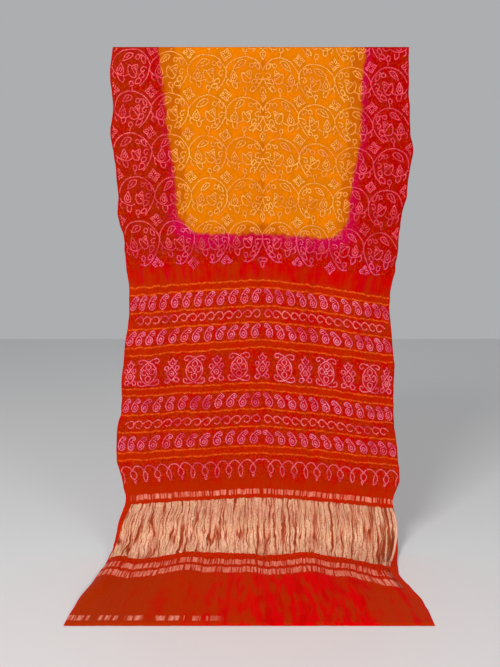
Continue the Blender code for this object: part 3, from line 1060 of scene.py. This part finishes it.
def turn_to_sheet(across, pattern, seed, scale):
    """Points of a knot at each place, upright on the sheet's face, each with its own size."""
    points, normal, over = on_sheet(across, pattern)
    down = np.cross(over, normal)
    draw = np.random.default_rng(seed)
    spin = draw.uniform(0, math.pi, len(across))
    size = scale * draw.uniform(0.88, 1.12, len(across))
    first = over * np.cos(spin)[:, None] + down * np.sin(spin)[:, None]
    second = np.cross(normal, first)
    flat = size[:, None, None] * knot_points[None, :, :2]
    coords = points[:, None, :] + flat[..., :1] * first[:, None, :]
    coords = coords + flat[..., 1:] * second[:, None, :]
    return coords + knot_points[None, :, 2:] * normal[:, None, :]


def tie_knots(name, knots, seed, scale):
    """One piece: a mesh of all these knots, in their own colours."""
    across, pattern, boldness = knots.T
    coords = turn_to_sheet(across, pattern, seed, scale)
    corners = (np.arange(len(knots))[:, None, None] * len(knot_points) + knot_faces).ravel()
    mesh = bpy.data.meshes.new(name)
    mesh.vertices.add(len(knots) * len(knot_points))
    mesh.vertices.foreach_set("co", coords.astype(np.float32).ravel())
    mesh.loops.add(len(corners))
    mesh.loops.foreach_set("vertex_index", corners.astype(np.int32))
    mesh.polygons.add(len(corners) // 3)
    mesh.polygons.foreach_set("loop_start", np.arange(0, len(corners), 3, dtype=np.int32))
    mesh.update(calc_edges=True)
    mesh.shade_smooth()
    peak = peak_colour(across, pattern, boldness, seed + 1)
    skirt = skirt_dye_and_shade(across, pattern)
    colours = skirt[:, None, :] + knot_paleness * (peak - skirt)[:, None, :]
    kept = mesh.color_attributes.new("knot_colour", "FLOAT_COLOR", "POINT")
    kept.data.foreach_set("color", colours.astype(np.float32).ravel())
    piece = put_in_scene(name, mesh)
    mesh.materials.append(undyed)
    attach(piece, "root")
    return piece


undyed = start_material("undyed_knots")
tree = undyed.node_tree
kept_colour = tree.nodes.new("ShaderNodeAttribute")
kept_colour.attribute_name = "knot_colour"
own_place = tree.nodes.new("ShaderNodeTexCoord").outputs["Object"]
threads = grain(own_place, PICK_PITCH, PICK_PITCH)
# Painted shade between the threads: the knots' colour darkened on a fine grain at the threads' pitch.
thread_shade = ease(threads, 0.65, 0.35)
set_surface({
    "Base Color": tint(thread_shade, kept_colour.outputs["Color"], dye(232, 216, 206), "MULTIPLY"),
    "Normal": raise_relief(threads, 0.0002),
    "Roughness": 0.6,
    "Specular IOR Level": 0.2,
})

ground_knots, row_knots = gather_knots("ground"), gather_knots("rows")
knot_pieces = [
    tie_knots("knots_left", ground_knots[ground_knots[:, 0] < 0], 41, 1.03),
    tie_knots("knots_right", ground_knots[ground_knots[:, 0] >= 0], 43, 1.03),
    tie_knots("knots_rows_left", row_knots[row_knots[:, 0] < 0], 45, 1.05),
    tie_knots("knots_rows_right", row_knots[row_knots[:, 0] >= 0], 47, 1.05),
]


def knot_closeness_map(all_knots, cell, reach):
    """How closely knots surround each point of the cloth, from 0 to 1."""
    wide, long = int(CLOTH_WIDTH / cell) + 1, int((CLOTH_LENGTH + 0.1) / cell) + 1
    column = ((all_knots[:, 0] + HALF_WIDTH) / cell).astype(int)
    row = ((all_knots[:, 1] + 0.05) / cell).astype(int)
    count = np.zeros((long, wide))
    np.add.at(count, (row, column), 1.0)
    steps = np.arange(-3 * reach, 3 * reach + cell, cell)
    spread = np.exp(-0.5 * (steps / reach) ** 2)
    spread /= spread.sum()
    for axis in (0, 1):
        count = np.apply_along_axis(np.convolve, axis, count, spread, "same")
    column = np.clip((cloth_across + HALF_WIDTH) / cell, 0, wide - 1).astype(int)
    row = np.clip((cloth_pattern + 0.05) / cell, 0, long - 1).astype(int)
    return smooth(0.20, 0.85, count[row, column] / np.percentile(count[count > 0.01], 96))


note(cloth_mesh, "motif", knot_closeness_map(np.vstack([ground_knots, row_knots]), 0.002, 0.0058))

# ---------------------------------------------------------------------------------------
# The camera stands in front of the cloth, a little to its left and above its middle. The floor
# is plain and pale, and two soft square lights hang over the viewer's shoulders.
# ---------------------------------------------------------------------------------------
EYE_HEIGHT, EYE_DISTANCE, EYE_TO_LEFT = 1.10, 2.4, 0.045
LENS, TILT_DOWN = 36.25, 7
FLOOR_REACH, FLOOR_GAP = 6.0, 0.0005
FLOOR_PAINT, STUDIO_AIR = (0.75, 0.74, 0.73, 1), (0.90, 0.92, 0.95, 1)
STUDIO_LIGHT, LIGHT_SIZE = 0.46, 1.6
# Each light's name, its place, the height that it is turned to, and its watts.
LIGHTS = (("key", (-2.2, -4.0, 1.9), -1.1, 182), ("fill", (2.6, -3.9, 0.2), -1.2, 58))

camera_data = bpy.data.cameras.new("camera")
camera_data.lens = LENS
camera = put_in_scene("camera", camera_data)
camera.location = (-EYE_TO_LEFT, -EYE_DISTANCE, EYE_HEIGHT - HANG_HEIGHT)
camera.rotation_euler = (math.radians(90 - TILT_DOWN), 0, 0)
bpy.context.scene.camera = camera

floor_mesh = bpy.data.meshes.new("floor")
floor_grid = bmesh.new()
bmesh.ops.create_grid(floor_grid, x_segments=1, y_segments=1, size=FLOOR_REACH)
floor_grid.to_mesh(floor_mesh)
floor_grid.free()
floor = put_in_scene("floor", floor_mesh)
floor.location = (0, 0, -HANG_HEIGHT - FLOOR_GAP)
paint = start_material("pale_floor")
tree = paint.node_tree
set_surface({"Base Color": FLOOR_PAINT})
floor_mesh.materials.append(paint)

world = bpy.data.worlds.new("studio")
world.use_nodes = True
background = world.node_tree.nodes["Background"]
background.inputs["Color"].default_value = STUDIO_AIR
background.inputs["Strength"].default_value = STUDIO_LIGHT
bpy.context.scene.world = world
bpy.context.scene.view_settings.view_transform = "Standard"

for name, place, aim_height, watts in LIGHTS:
    light_data = bpy.data.lights.new(name, "AREA")
    light_data.shape = "RECTANGLE"
    light_data.size = light_data.size_y = LIGHT_SIZE
    light_data.energy = watts
    light = put_in_scene(name, light_data)
    light.location = place
    aim = Vector((0, 0, aim_height)) - light.location
    light.rotation_euler = aim.to_track_quat("-Z", "Y").to_euler()
